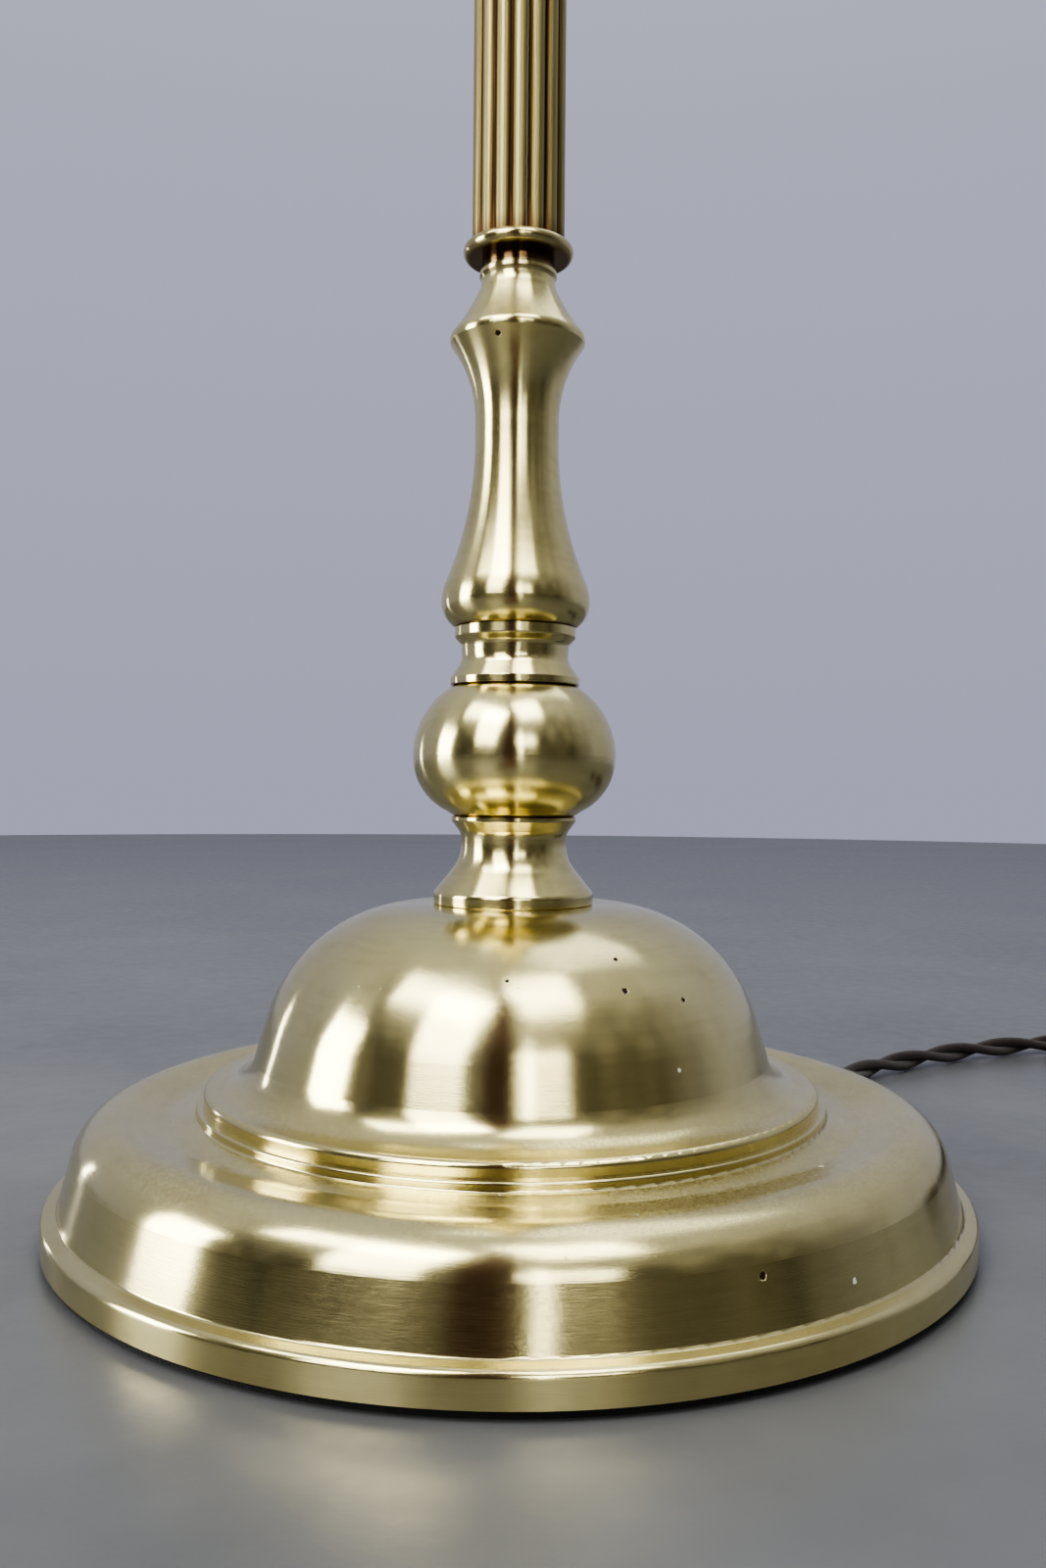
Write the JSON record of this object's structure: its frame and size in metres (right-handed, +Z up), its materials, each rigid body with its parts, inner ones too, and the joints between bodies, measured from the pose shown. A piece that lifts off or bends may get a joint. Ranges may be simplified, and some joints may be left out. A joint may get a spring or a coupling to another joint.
{
  "type": "standard lamp",
  "caption": "Brass standard lamp with a domed weighted base, turned baluster stem, reeded column, bayonet lampholder and twisted braided lead.",
  "frame": {"origin": "floor level on the lamp's axis, at the centre of the base", "axes": "+Z up the column; the lead leaves the base at 48 degrees from +X towards +Y; the switch bar lies along X"},
  "size_m": [0.5577, 0.4256, 1.3777],
  "materials": {
    "spun_brass": "polished spun brass with fine turning lines",
    "turned_brass": "polished turned brass",
    "reeded_brass": "drawn brass, tarnished in the valleys",
    "lampholder_brass": "polished brass",
    "contact_brass": "bright brass",
    "steel": "zinc plated",
    "spring_steel": "bright spring wire",
    "cast_iron": "as cast, black",
    "felt": "black felt",
    "black_rubber": "matt black rubber",
    "fibre": "red vulcanised fibre",
    "braided_cord": "dark brown woven cotton cover",
    "tie_strap": "black woven tape",
    "plug_plastic": "black moulded plastic",
    "fuse_ceramic": "glazed ceramic with metal ends",
    "switch_plastic": "black moulded plastic",
    "insulator_moulding": "white glazed ceramic"
  },
  "bodies": {
    "lamp": {"foot_felt": "felt", "base_cover_plate": "steel", "cover_screws": "steel", "ballast_weight": "cast_iron", "base_pan": "spun_brass", "base_dome": "spun_brass", "base_washer": "steel", "base_nut": "steel", "tie_tube": "steel", "cord_bush": "black_rubber", "cord_relief": "black_rubber", "cord_clamp": "fibre", "clamp_screws": "steel", "earth_tag": "steel", "earth_screw": "steel", "inner_flex": "braided_cord", "foot_spool": "turned_brass", "ball_knop": "turned_brass", "waist_spool": "turned_brass", "vase_stem": "turned_brass", "neck_ring": "turned_brass", "lower_collar": "turned_brass", "reeded_column": "reeded_brass", "upper_collar": "turned_brass", "top_cup": "turned_brass", "lock_nut": "lampholder_brass", "holder_cap": "lampholder_brass", "holder_insulator": "insulator_moulding", "terminal_posts": "contact_brass", "plunger_spring_left": "spring_steel", "plunger_spring_right": "spring_steel", "lamp_barrel": "lampholder_brass", "shade_sleeve": "lampholder_brass", "cord_lead": "braided_cord", "cord_coil": "braided_cord", "coil_tie": "tie_strap", "cord_tail": "braided_cord", "plug_cover": "plug_plastic", "plug_base": "plug_plastic", "live_pin": "contact_brass", "neutral_pin": "contact_brass", "earth_pin": "contact_brass", "plug_screw": "steel", "plug_fuse": "fuse_ceramic", "plug_cord_grip": "fibre"},
    "left_plunger": {"contact_plunger_left": "contact_brass"},
    "right_plunger": {"contact_plunger_right": "contact_brass"},
    "switch_bar": {"push_bar": "switch_plastic"},
    "lower_ring": {"lower_shade_ring": "lampholder_brass"},
    "upper_ring": {"upper_shade_ring": "lampholder_brass"}
  },
  "joints": [
    {"name": "left_plunger_press", "type": "slide", "parent": "lamp", "child": "left_plunger", "axis": [0, 0, -1], "range_m": [0, 0.003], "stiffness_N_per_m": 600, "springref_m": -0.0015, "deforming": ["plunger_spring_left"]},
    {"name": "right_plunger_press", "type": "slide", "parent": "lamp", "child": "right_plunger", "axis": [0, 0, -1], "range_m": [0, 0.003], "stiffness_N_per_m": 600, "springref_m": -0.0015, "deforming": ["plunger_spring_right"]},
    {"name": "switch_bar_push", "type": "slide", "parent": "lamp", "child": "switch_bar", "axis": [1, 0, 0], "range_m": [0, 0.006]},
    {"name": "lower_ring_turn", "type": "hinge", "parent": "lamp", "child": "lower_ring", "pos_m": [0, 0, 1.3617], "axis": [0, 0, 1], "range_deg": [0, 360]},
    {"name": "upper_ring_turn", "type": "hinge", "parent": "lamp", "child": "upper_ring", "pos_m": [0, 0, 1.3697], "axis": [0, 0, 1], "range_deg": [0, 360]}
  ]
}
